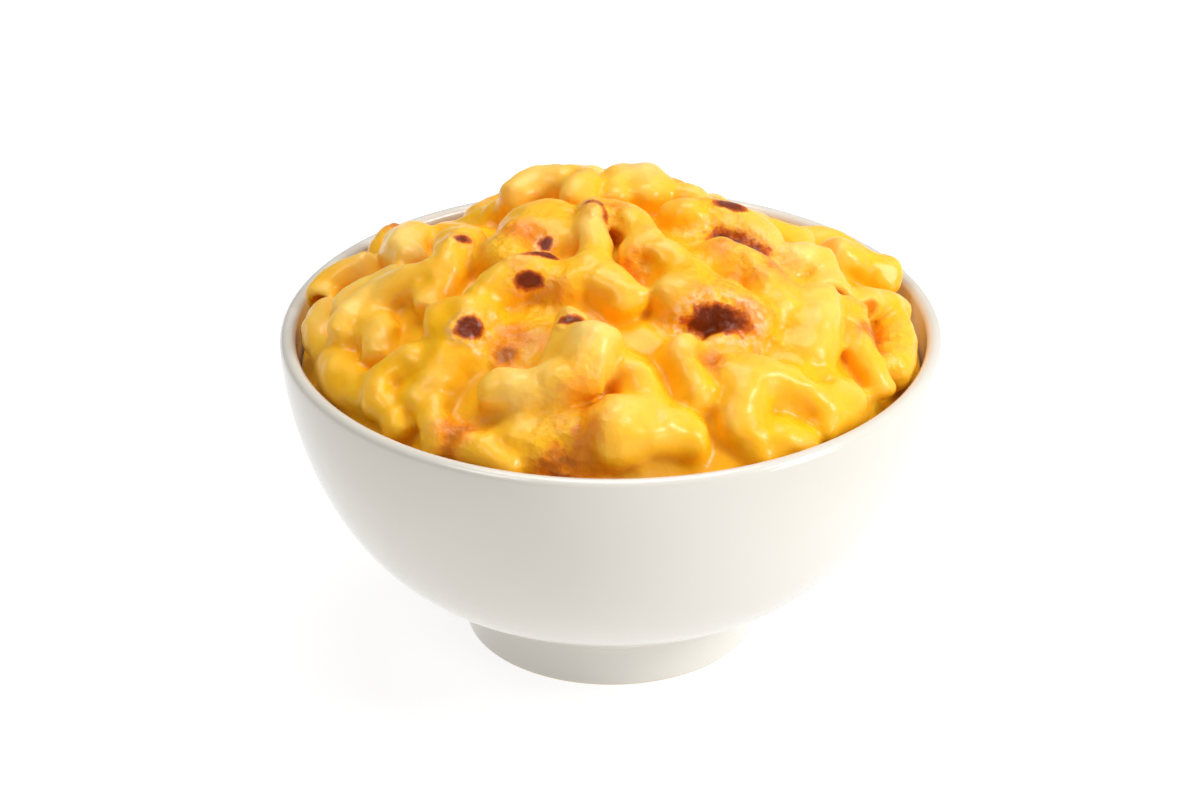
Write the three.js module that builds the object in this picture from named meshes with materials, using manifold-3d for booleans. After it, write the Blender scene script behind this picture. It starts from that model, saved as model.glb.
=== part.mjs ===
// Macaroni and cheese heaped in a white footed bowl, in millimetres, +Z up.
// The origin is the centre of the bowl's foot, where the bowl stands.
// Two pieces: the glazed bowl, and the heap of sauced elbow macaroni that fills it.
import * as THREE from 'three';
import { mergeVertices } from 'three/addons/utils/BufferGeometryUtils.js';
import Module from 'manifold-3d';

const wasm = await Module();
wasm.setup();

// Bowl: outside sizes
const RIM_RADIUS = 62.5;
const RIM_HEIGHT = 61.5; // of the widest circle, at the middle of the rounded lip
const LIP_RADIUS = 1.5;
const BODY_DEPTH = 51.8; // depth at which the body's curve would close
const DEPTH_POWER = 1.62;
const RADIUS_POWER = 3.77;
const FOOT_TOP_RADIUS = 29;
const FOOT_RADIUS = 28.2;
const FOOT_RING = 4.5;
const FOOT_RECESS = 3;
const FOOT_EDGE = 0.8;

// Bowl: inside sizes
const WALL = 2 * LIP_RADIUS;
const FLOOR_THICKNESS = 4.3;
const INSIDE_RADIUS = RIM_RADIUS - WALL;
const INSIDE_DEPTH = BODY_DEPTH - FLOOR_THICKNESS;
const BOWL_SEGMENTS = 48;
const OUTER_STEPS = 10;
const INNER_STEPS = 7;

// Heap: a dome of sauce with elbow macaroni half sunk in it
const GAP = 0.3; // between the elbows and the bowl
const CORE_GAP = 0.5; // between the sauce and the bowl
const MOUND_EDGE = 60;
const MOUND_RISE = 25.5; // of the coated surface, above the rim
const COAT_RADIUS = 4.6; // of a cooked elbow with its sauce
const MOUND_RADIUS = (MOUND_EDGE ** 2 + MOUND_RISE ** 2) / (2 * MOUND_RISE);
const SAUCE_DROP = 0.6; // sauce surface below the elbows' centre lines
const CORE_EDGE_DEPTH = 2.5; // where the sauce meets the bowl
const CORE_DOME_EDGE = 59;
const HEAP_STEPS = 7;
// where the mound has sunk: x, y, reach along X, reach along Y, depth
const SAGS = [[-29, 30, 11, 24, 6.5], [27, 30, 14, 20, 5]];

// Elbows
const SIDES = 6;
const END_REACH = 3; // from the last point of the centre line to the end
const END_CHAMFER = 2;
const BORE_SHARE = 0.55; // of the coated radius
const BORE_DEPTH = 5;
const RING_SPACING = 8.5;
const WALL_CLEAR = 1; // between an elbow and the inside of the bowl
const WELD_DISTANCE = 1e-5; // between corners that are one

// Elbows laid by rule, behind the ones in the list below
const RULE_PLACES = 400;
const RULE_REACH = 53;
const RULE_FRONT = 13; // they start this far behind the middle
const RULE_CLEAR = 4.2; // between the points that place any two elbows
const RULE_SEED = 20;
const HALF_LENGTHS = [6, 8.5]; // of an elbow, lowest and highest
const BOWS = [2, 5]; // sideways, of its middle
const ARCHES = [0, 2.4]; // upwards, of its middle
const LIFTS = [-1, 1]; // of the whole, over the mound
const SIZES = [0.92, 1.08];
const OPEN_SHARE = 0.12;

// Elbows placed by hand on the side that is seen best: three points of the centre line, each
// x, y, its height over the mound and the size against an ordinary elbow; then the open ends.
const PLACED = [
  // left flank, from the back to the front
  [[-54.5, 8, 3, 0.78], [-51.5, 10, 2.8, 0.78], [-46, 9.5, 2, 0.8], 's'],
  [[-49.5, -4, 2.4, 0.66], [-46, -3.5, 2.6, 0.66], [-41, -3, 2, 0.7], ''],
  [[-39, 16, 3, 0.9], [-39.5, 10, 3.2, 0.95], [-38, 3, 2, 0.85], ''],
  [[-35, 22, 0, 0.9], [-27, 22, 0.6, 0.9], [-18, 21, 0.6, 0.9], ''],
  [[-28.5, 0, 2.8, 1.1], [-29.2, -5, 2.5, 1.0], [-31, -12, 1.4, 0.8], ''],
  [[-49.5, -13.5, 2.6, 0.72], [-44.5, -8.5, 3, 0.8], [-35, -10, 2.2, 0.8], ''],
  [[-44, -15.5, 1.7, 0.7], [-43, -19, 1.9, 0.72], [-43, -22.5, 1.4, 0.68], ''],
  [[-54, 1, 1.4, 0.68], [-55, -6, 1.6, 0.7], [-54, -11.5, 1.2, 0.68], ''],
  [[-52.5, -16.5, 0.2, 0.85], [-49.5, -23, 0.6, 0.9], [-44.5, -29.5, 0, 0.85], ''],
  [[-36.5, -29.5, 1.6, 0.78], [-40.5, -30, 1.8, 0.8], [-42, -34, 1.2, 0.75], ''],
  [[-39.5, -37.5, 1.8, 0.6], [-39, -38.5, 1.8, 0.62], [-38.5, -39.5, 1.6, 0.6], ''],
  [[-31.5, -24, 2, 0.98], [-28, -25, 2, 1.0], [-24.5, -27, 2, 0.98], ''],
  [[-26.5, -30, 1, 1.0], [-30.5, -33.5, 1, 1.05], [-34.5, -37, 0.6, 0.9], ''],
  [[-31.5, -41.5, 1.6, 0.62], [-31, -44, 1.8, 0.66], [-30, -46.5, 1, 0.66], ''],
  // front
  [[-20.5, -42, 3.2, 0.9], [-15, -44, 3.4, 0.92], [-9, -44, 3.4, 0.95], ''],
  [[-9, -44, 3.4, 0.95], [-5, -43, 4, 1.08], [-2.8, -37.5, 4.6, 1.15], ''],
  [[-7, -32.5, 3.1, 0.6], [-8.5, -35.5, 2.8, 0.65], [-10, -39, 1.6, 0.65], ''],
  [[-22, -21, 2.2, 0.78], [-17, -18, 2.5, 0.9], [-11, -17.5, 2, 0.95], 's'],
  [[-8, -21, 1, 0.95], [-2.5, -19.5, 1.2, 1.0], [2.5, -25, 0.4, 0.9], ''],
  [[-25, -51, 1.2, 0.66], [-22, -52, 1.2, 0.7], [-19, -53, 0.6, 0.66], ''],
  [[-17, -48, -0.6, 1.0], [-11, -49.5, -0.6, 1.05], [-4, -50, -1, 1.0], ''],
  [[0, -51.5, 0.6, 1.35], [6, -50, 1.2, 1.3], [13.5, -49.5, -0.6, 1.0], ''],
  [[3, -38.5, -0.6, 0.85], [5.5, -42, -0.2, 0.9], [8, -46, -1, 0.8], ''],
  [[13, -34.5, 0.6, 0.9], [14, -38.5, 0.9, 0.85], [15.5, -43, 0.2, 0.9], ''],
  [[9.5, -25, 0.4, 1.05], [17, -23.5, 1.6, 1.15], [25, -26.5, 0.8, 1.05], ''],
  [[20.5, -32, 0.8, 0.8], [22, -35, 1.2, 0.75], [23.5, -38, 1, 0.7], ''],
  [[23, -39, 1.8, 0.8], [24, -42.5, 2, 0.88], [22.5, -47, 1, 0.8], ''],
  [[28, -38, 2.2, 0.8], [33, -37.5, 2.4, 0.8], [38, -37, 1.8, 0.74], ''],
  [[38, -40.5, 1.6, 0.72], [40.5, -39, 1.8, 0.74], [43.5, -36, 1.4, 0.72], ''],
  [[26, -48, -0.8, 0.8], [30, -45.5, -0.4, 0.85], [33, -44, -1.2, 0.78], ''],
  // right flank
  [[37, -13, 1.2, 1.05], [38, -20, 1.4, 1.12], [35.5, -28, 0.2, 1.0], ''],
  [[34.5, 0, 1.6, 0.85], [39.5, 1, 2.2, 0.85], [41, -4.5, 1.2, 0.82], 'e'],
  [[44, -12.5, 2.8, 0.66], [46, -20, 2.6, 0.66], [48.5, -26, 1.6, 0.55], ''],
  [[46, -7, 1.4, 0.72], [50, -2, 2, 0.72], [54, 1, 1.6, 0.7], ''],
  [[52.5, -5, 0.8, 0.9], [52.5, -12, 0.9, 0.95], [50.5, -19, 0.2, 0.9], ''],
  [[42, 12, 1.2, 0.85], [48, 14, 1.4, 0.9], [52.5, 15.5, 2.2, 0.9], ''],
  // crown
  [[26, 12, 2, 0.6], [30, 12, 2.4, 0.62], [35, 12, 2.4, 0.6], ''],
  [[12, 4, 1, 0.95], [20, 6, 1.8, 0.98], [28, 3, 1.2, 0.92], ''],
  [[-18.5, 18, 3.8, 0.82], [-13.5, 22, 3.9, 0.9], [-8, 21.5, 3.8, 0.9], ''],
  [[-6, 21, 3.2, 0.82], [-5.5, 17, 2.8, 0.85], [-6, 12, 1.7, 0.8], ''],
  [[-19, 0, 0.8, 0.88], [-14, 2, 1.3, 0.92], [-8.5, 1, 1, 0.88], ''],
  [[7, 24, 3.4, 0.84], [7, 20, 3.2, 0.88], [7, 14, 1.8, 0.8], ''],
  [[2, 24, 3.2, 0.68], [1.5, 19, 2.8, 0.68], [1, 14, 1.4, 0.64], ''],
  [[11, 17, 2.4, 0.66], [15, 16, 2.4, 0.68], [19, 14, 1.4, 0.66], ''],
  [[-3, -0.5, 3.4, 0.66], [-3.5, -8, 3.4, 0.7], [-3.5, -17, 2.4, 0.7], ''],
  [[1, 0, 2.8, 0.72], [4, -3.5, 2.6, 0.78], [6, -9.5, 1.8, 0.78], ''],
  [[5, -12, 0.6, 0.9], [11, -15, 1.6, 0.95], [16, -20.5, 0.6, 0.9], ''],
  [[-21, -8, 0, 0.95], [-15, -3, 1, 1.0], [-9, -7, 0.4, 0.95], ''],
  [[20, -8, 0.4, 1.0], [26, -12, 0.8, 1.05], [30, -19, 0, 1.0], ''],
];

const glaze = new THREE.MeshStandardMaterial({ color: 0xf2efe9, roughness: 0.2, metalness: 0 });
const cheese = new THREE.MeshStandardMaterial({ color: 0xf7a91c, roughness: 0.4, metalness: 0 });

// Radius of a superellipse bowl curve at a depth below the rim.
function curveRadius(radius, depth, fullDepth) {
  const share = Math.min(depth / fullDepth, 1);
  return radius * (1 - share ** DEPTH_POWER) ** (1 / RADIUS_POWER);
}

function curveDepth(radius, fullRadius, fullDepth) {
  return fullDepth * (1 - (radius / fullRadius) ** RADIUS_POWER) ** (1 / DEPTH_POWER);
}

// A profile of [radius, height] points turned round Z, as one closed surface.
function turned(profile, segments) {
  const points = profile.map(([r, z]) => new THREE.Vector2(r, z));
  const geometry = new THREE.LatheGeometry(points, segments);
  geometry.rotateX(Math.PI / 2);
  geometry.deleteAttribute('normal');
  geometry.deleteAttribute('uv');
  return mergeVertices(geometry, WELD_DISTANCE);
}

function toSolid(closed) {
  return new wasm.Manifold(new wasm.Mesh({
    numProp: 3,
    vertProperties: new Float32Array(closed.attributes.position.array),
    triVerts: new Uint32Array(closed.index.array),
  }));
}

function bowlProfile() {
  const footJoint = curveDepth(FOOT_TOP_RADIUS, RIM_RADIUS, BODY_DEPTH);
  const profile = [
    [0, FOOT_RECESS],
    [FOOT_RADIUS - FOOT_RING, FOOT_RECESS],
    [FOOT_RADIUS - FOOT_RING + FOOT_EDGE, 0],
    [FOOT_RADIUS - FOOT_EDGE, 0],
    [FOOT_RADIUS, FOOT_EDGE],
    [FOOT_TOP_RADIUS, RIM_HEIGHT - footJoint],
  ];
  // steps are even in angle, so that they crowd where the wall turns to the foot
  for (let i = 1; i <= OUTER_STEPS; i += 1) {
    const depth = footJoint * Math.cos((Math.PI / 2) * (i / OUTER_STEPS));
    profile.push([curveRadius(RIM_RADIUS, depth, BODY_DEPTH), RIM_HEIGHT - depth]);
  }
  const lipCentre = RIM_RADIUS - LIP_RADIUS;
  for (const degrees of [45, 90, 135]) {
    const angle = THREE.MathUtils.degToRad(degrees);
    profile.push([
      lipCentre + LIP_RADIUS * Math.cos(angle),
      RIM_HEIGHT + LIP_RADIUS * Math.sin(angle),
    ]);
  }
  for (let i = 0; i < INNER_STEPS; i += 1) {
    const depth = INSIDE_DEPTH * Math.sin((Math.PI / 2) * (i / INNER_STEPS));
    profile.push([curveRadius(INSIDE_RADIUS, depth, INSIDE_DEPTH), RIM_HEIGHT - depth]);
  }
  profile.push([0, RIM_HEIGHT - INSIDE_DEPTH]);
  return profile;
}

// How far the mound has sunk at a place.
function sagAt(x, y) {
  return SAGS.reduce((sum, [cx, cy, reachX, reachY, depth]) => {
    const distance = Math.hypot((x - cx) / reachX, (y - cy) / reachY);
    return sum + depth * Math.exp(-(distance ** 2));
  }, 0);
}

// Height of the elbows' centre lines over the foot, as a dome and with its sags.
function domeHeight(distance) {
  const sphere = Math.sqrt(MOUND_RADIUS ** 2 - distance ** 2);
  return RIM_HEIGHT + sphere - (MOUND_RADIUS - MOUND_RISE) - COAT_RADIUS;
}

function moundHeight(x, y) {
  return domeHeight(Math.hypot(x, y)) - sagAt(x, y);
}

// The bowl's hollow less a gap, from the middle of its floor up the wall to a depth.
function hollowCurve(gap, endDepth) {
  const floorDepth = INSIDE_DEPTH - gap;
  const profile = [[0, RIM_HEIGHT - floorDepth]];
  for (let i = 1; i <= INNER_STEPS; i += 1) {
    const angle = (Math.PI / 2) * (1 - i / INNER_STEPS);
    const depth = endDepth + (floorDepth - endDepth) * Math.sin(angle);
    profile.push([curveRadius(INSIDE_RADIUS - gap, depth, floorDepth), RIM_HEIGHT - depth]);
  }
  return profile;
}

// The heap's bare core: fills the bowl, with a dome of sauce on top.
function coreProfile() {
  const profile = hollowCurve(CORE_GAP, CORE_EDGE_DEPTH);
  for (let i = HEAP_STEPS - 1; i >= 0; i -= 1) {
    const radius = (CORE_DOME_EDGE * i) / HEAP_STEPS;
    profile.push([radius, domeHeight(radius) - SAUCE_DROP]);
  }
  return profile;
}

function coreSolid() {
  const geometry = turned(coreProfile(), BOWL_SEGMENTS);
  const place = geometry.attributes.position;
  for (let i = 0; i < place.count; i += 1) {
    if (place.getZ(i) > RIM_HEIGHT) {
      place.setZ(i, place.getZ(i) - sagAt(place.getX(i), place.getY(i)));
    }
  }
  return toSolid(geometry);
}

// A point of a centre line, held back from the bowl's wall.
function onMound([x, y, lift, size]) {
  const limit = INSIDE_RADIUS - WALL_CLEAR - COAT_RADIUS * size;
  const held = Math.min(1, limit / Math.hypot(x, y));
  return new THREE.Vector3(x * held, y * held, moundHeight(x * held, y * held) + lift);
}

// Profile of a straight elbow about its own axis, from end to end: [radius, distance]. The
// radii at its start, middle and finish are given.
function elbowProfile(length, radii, open) {
  const radiusAt = (share) => {
    const [start, middle, finish] = radii;
    const bow = 2 * middle - (start + finish) / 2;
    return (1 - share) ** 2 * start + 2 * share * (1 - share) * bow + share ** 2 * finish;
  };
  const end = (isOpen, radius, mouth, inward) => (isOpen
    ? [[0, mouth + inward * BORE_DEPTH], [BORE_SHARE * radius, mouth + inward * BORE_DEPTH],
      [BORE_SHARE * radius, mouth], [radius, mouth]]
    : [[0, mouth], [radius - END_CHAMFER, mouth], [radius, mouth + inward * END_CHAMFER]]);
  const rings = Math.max(2, Math.round((length + END_REACH) / RING_SPACING));
  const middle = [];
  for (let i = 0; i <= rings; i += 1) {
    middle.push([radiusAt(i / rings), (length * i) / rings]);
  }
  return [
    ...end(open.includes('s'), radii[0], -END_REACH, 1),
    ...middle,
    ...end(open.includes('e'), radii[2], length + END_REACH, -1).reverse(),
  ];
}

// One elbow: a turned tube, bent along a curve through three points.
function elbow([start, middle, finish, open]) {
  const [a, b, c] = [start, middle, finish].map(onMound);
  const handle = b.clone().multiplyScalar(2).addScaledVector(a, -0.5).addScaledVector(c, -0.5);
  const curve = new THREE.QuadraticBezierCurve3(a, handle, c);
  const length = curve.getLength();
  const radii = [start, middle, finish].map((point) => COAT_RADIUS * point[3]);
  const geometry = turned(elbowProfile(length, radii, open), SIDES);
  const across = handle.clone().sub(a).cross(c.clone().sub(handle)).normalize();
  const place = geometry.attributes.position;
  for (let i = 0; i < place.count; i += 1) {
    const along = THREE.MathUtils.clamp(place.getZ(i), 0, length);
    const past = place.getZ(i) - along;
    const tangent = curve.getTangentAt(along / length);
    const side = tangent.clone().cross(across);
    const point = curve.getPointAt(along / length)
      .addScaledVector(tangent, past)
      .addScaledVector(across, place.getX(i))
      .addScaledVector(side, place.getY(i));
    place.setXYZ(i, point.x, point.y, point.z);
  }
  return toSolid(geometry);
}

// Even random numbers from 0 to 1, the same ones each time.
function seeded(seed) {
  let state = seed;
  return () => {
    state = (Math.imul(state, 1664525) + 1013904223) >>> 0;
    return state / 2 ** 32;
  };
}

// Whether two elbows' points keep clear of each other, seen from above.
function areClear(one, other) {
  const points = (row) => row.slice(0, 3);
  return points(one).every(([ax, ay]) => points(other).every(
    ([bx, by]) => Math.hypot(ax - bx, ay - by) > RULE_CLEAR,
  ));
}

// Elbows over the back of the mound: at the places of a sunflower spiral that are still free,
// each bowed sideways and arched by a random amount.
function withRuledElbows(placed) {
  const random = seeded(RULE_SEED);
  const within = ([low, high]) => low + (high - low) * random();
  const goldenAngle = Math.PI * (3 - Math.sqrt(5));
  const rows = [...placed];
  for (let i = 0; i < RULE_PLACES; i += 1) {
    const distance = RULE_REACH * Math.sqrt((i + 0.5) / RULE_PLACES);
    const x = distance * Math.cos(i * goldenAngle);
    const y = distance * Math.sin(i * goldenAngle);
    const heading = within([0, 2 * Math.PI]);
    const half = within(HALF_LENGTHS);
    const bow = within(BOWS);
    const arch = within(ARCHES);
    const lift = within(LIFTS);
    const size = within(SIZES);
    const open = random() < OPEN_SHARE ? 's' : '';
    const [dx, dy] = [Math.cos(heading), Math.sin(heading)];
    const row = [
      [x - dx * half, y - dy * half, lift - arch, size],
      [x - dy * bow, y + dx * bow, lift + arch / 2, size],
      [x + dx * half, y + dy * half, lift - arch, size],
      open,
    ];
    if (y > RULE_FRONT && rows.every((other) => areClear(row, other))) {
      rows.push(row);
    }
  }
  return rows;
}

// The outer skin of a solid alone: sealed hollows filled and loose scraps dropped.
function outerSkin(solid) {
  const [largest] = solid.decompose().sort((one, other) => other.volume() - one.volume());
  const { triVerts, vertProperties } = largest.getMesh();
  const geometry = new THREE.BufferGeometry();
  geometry.setAttribute('position', new THREE.BufferAttribute(vertProperties, 3));
  geometry.setIndex(new THREE.BufferAttribute(triVerts, 1));
  return mergeVertices(geometry, WELD_DISTANCE);
}

// The space the food may fill: the bowl's hollow less a gap, and straight up from its lip.
function foodSpace() {
  const profile = hollowCurve(GAP, 0);
  const top = RIM_HEIGHT + 2 * MOUND_RISE;
  profile.push([INSIDE_RADIUS - GAP, top], [0, top]);
  return toSolid(turned(profile, BOWL_SEGMENTS));
}

function heapGeometry() {
  const elbows = wasm.Manifold.union(withRuledElbows(PLACED).map(elbow));
  return outerSkin(coreSolid().add(elbows.intersect(foodSpace())));
}

const bowl = new THREE.Mesh(turned(bowlProfile(), BOWL_SEGMENTS), glaze);
bowl.name = 'bowl';

const heap = new THREE.Mesh(heapGeometry(), cheese);
heap.name = 'macaroni_heap';

const part = new THREE.Group();
part.add(bowl, heap);
export default part;
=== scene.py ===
"""Macaroni and cheese heaped in a white footed bowl: the looks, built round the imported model.

Lengths are in millimetres while shapes are worked out, and in metres once a mesh is made.
"""

import math

import bpy
import numpy as np
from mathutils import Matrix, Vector


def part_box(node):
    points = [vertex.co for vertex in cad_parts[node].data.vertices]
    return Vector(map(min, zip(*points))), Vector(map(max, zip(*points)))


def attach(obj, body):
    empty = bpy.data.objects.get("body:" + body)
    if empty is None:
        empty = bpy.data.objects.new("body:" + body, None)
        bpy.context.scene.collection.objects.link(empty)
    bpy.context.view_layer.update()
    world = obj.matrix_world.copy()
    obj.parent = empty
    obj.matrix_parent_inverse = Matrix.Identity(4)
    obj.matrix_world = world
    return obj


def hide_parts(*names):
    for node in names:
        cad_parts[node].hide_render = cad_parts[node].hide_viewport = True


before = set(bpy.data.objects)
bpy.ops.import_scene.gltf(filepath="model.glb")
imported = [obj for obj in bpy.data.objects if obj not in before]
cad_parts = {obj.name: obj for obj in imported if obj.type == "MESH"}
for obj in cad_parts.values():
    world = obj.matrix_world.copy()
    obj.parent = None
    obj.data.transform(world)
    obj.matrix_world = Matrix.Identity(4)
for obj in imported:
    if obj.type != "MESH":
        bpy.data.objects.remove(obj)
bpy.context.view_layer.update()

MM = 0.001

# Bowl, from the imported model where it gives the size
BOWL_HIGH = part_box("bowl")[1]
LIP_RADIUS = 1.5
RIM_RADIUS = BOWL_HIGH.x / MM
RIM_HEIGHT = BOWL_HIGH.z / MM - LIP_RADIUS
BODY_DEPTH = 51.8  # depth at which the body's curve would close
DEPTH_POWER = 1.62
RADIUS_POWER = 3.77
FOOT_TOP_RADIUS = 29
FOOT_RADIUS = 28.2
FOOT_RING = 4.5
FOOT_RECESS = 3
FOOT_EDGE = 0.8
RECESS_FILLET = 1
RECESS_BAND = 4  # between the foot ring and the recess's inner flat
# The crease over the foot, from the foot's top edge: how far out, how far up
CREASE = [(-0.3, -1.7), (0.05, -0.66), (0.4, -0.22)]
FLOOR_THICKNESS = 4.3
INSIDE_RADIUS = RIM_RADIUS - 2 * LIP_RADIUS
INSIDE_DEPTH = BODY_DEPTH - FLOOR_THICKNESS
BOWL_SEGMENTS = 224
OUTER_STEPS = 60
OUTER_SHARES = (0.02, 1)  # of the way up from the foot to the lip
INNER_STEPS = 40
INNER_SHARES = (0.03, 0.995)  # of the way down from the lip to the floor
LIP_STEPS = 14
LIP_ANGLES = (12, 180)  # degrees, from the outside over the top
EDGE_STEPS = 6

# Heap: a dome of sauce with elbow macaroni half sunk in it
MOUND_EDGE = 60  # radius at the rim's height
MOUND_RISE = 25.5  # of the coated surface, above the rim
COAT_RADIUS = 4.6  # of a cooked elbow with its sauce
MOUND_RADIUS = (MOUND_EDGE**2 + MOUND_RISE**2) / (2 * MOUND_RISE)
# Where the mound has sunk: x, y, reach along X, reach along Y, depth
SAGS = [(-29, 30, 11, 24, 6.5), (27, 30, 14, 20, 5)]
WALL_GAP = 0.3  # between the food and the bowl
WALL_CLEAR = 1  # between an elbow and the bowl
SAUCE_LEVEL = -0.7  # of the sauce, over the elbows' centre lines
RIM_DROP = 1.6  # how much lower it lies along the bowl's wall
RIM_DROP_FROM_TO = (46, 57)
FILLET = 2.1  # between an elbow and the sauce
FILLET_SPREAD = 1.3  # more for each millimetre of melted cheese
SPREAD_LIMIT = 2  # millimetres of melted cheese that count
HOLLOW_FILLET = 1.2
BORE_FILLET = 1.0
WALL_FILLET = 0.8  # where the food meets the bowl's wall
END_REACH = 3  # from the last point of a centre line to the end
CLOSED_ROUNDING = 4.5
CLOSED_ROUNDING_LIMIT = 0.85  # of the coated radius
OPEN_ROUNDING = 1.3
BORE_SHARE = 0.55  # of the coated radius
BORE_DEPTH = 4
BORE_ROUNDING = 1.3
LINE_STEPS = 12

# Unevenness of the surface, from smooth noise
WARPS = [(1.1, 9, 3), (0.35, 3.6, 5)]  # how far it bends the elbows, length, seed
BUMPS = [(0.5, 6, 1), (0.28, 2.6, 2)]  # height, length, seed
CRUST_HEIGHT = 0.24
CRUST_RIDGES = [(0.6, 2.6, 21), (0.4, 2.6 / 2.1, 22)]  # share of the height, length, seed
CRUST_FROM = -0.9  # browning at which the crust round a spot begins

# Elbows laid by rule, behind the ones in the list below
RULE_PLACES = 400
RULE_REACH = 53
RULE_FRONT = 13  # they start this far behind the middle
RULE_CLEAR = 4.2  # between the points that place any two elbows
RULE_SEED = 20
HALF_LENGTHS = (6, 8.5)
BOWS = (2, 5)
ARCHES = (0, 2.4)
LIFTS = (-1, 1)
SIZES = (0.92, 1.08)
OPEN_SHARE = 0.12

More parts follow.
